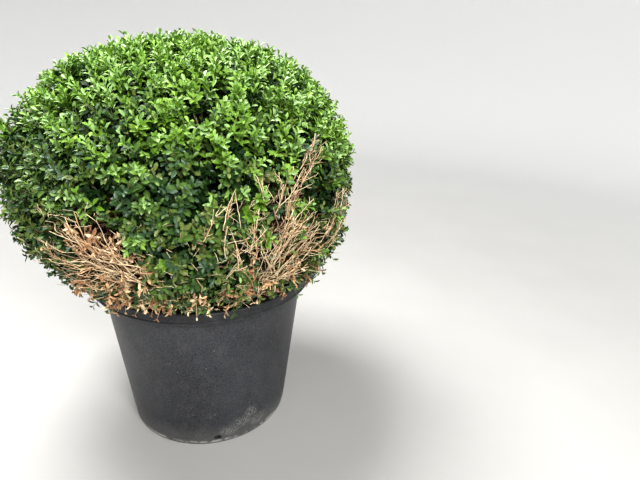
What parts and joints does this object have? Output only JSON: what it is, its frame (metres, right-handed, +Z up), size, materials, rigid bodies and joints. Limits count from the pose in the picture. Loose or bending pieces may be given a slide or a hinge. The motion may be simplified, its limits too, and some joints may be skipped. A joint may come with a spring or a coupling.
{
  "type": "box topiary ball in a pot",
  "caption": "Clipped box shrub grown as a ball, with two patches of bare dead twigs low in its crown, rooted in a round plastic nursery pot with a rolled rim and side handles.",
  "frame": {"origin": "centre of the pot's flat underside, on the ground that the plant stands on", "axes": "+Z up. +X and -X point at the two handles. -Y is the side with the dead patches, which the picture shows, and +Y points away from that viewer"},
  "size_m": [0.7173, 0.7151, 0.8621],
  "materials": {
    "pot_plastic": "matte black moulded plastic, dusty and lightly scuffed",
    "soil": "dark moist potting mix strewn with dry fallen leaves",
    "bark": "pale grey-tan bark with fine lengthwise cracks",
    "foliage": "small glossy evergreen leaves, bright green new growth over dark older leaves",
    "dead_twigs": "dry bare tan twigs with a few shrivelled leaves"
  },
  "bodies": {
    "root": {"pot": "pot_plastic", "handle_left": "pot_plastic", "handle_right": "pot_plastic", "soil": "soil", "stem": "bark", "bough_1": "bark", "bough_2": "bark", "bough_3": "bark", "bough_4": "bark", "bough_5": "bark", "bough_6": "bark", "bough_7": "bark", "bough_8": "bark", "crown": "foliage", "dead_twigs_left": "dead_twigs", "dead_twigs_right": "dead_twigs"}
  },
  "joints": []
}
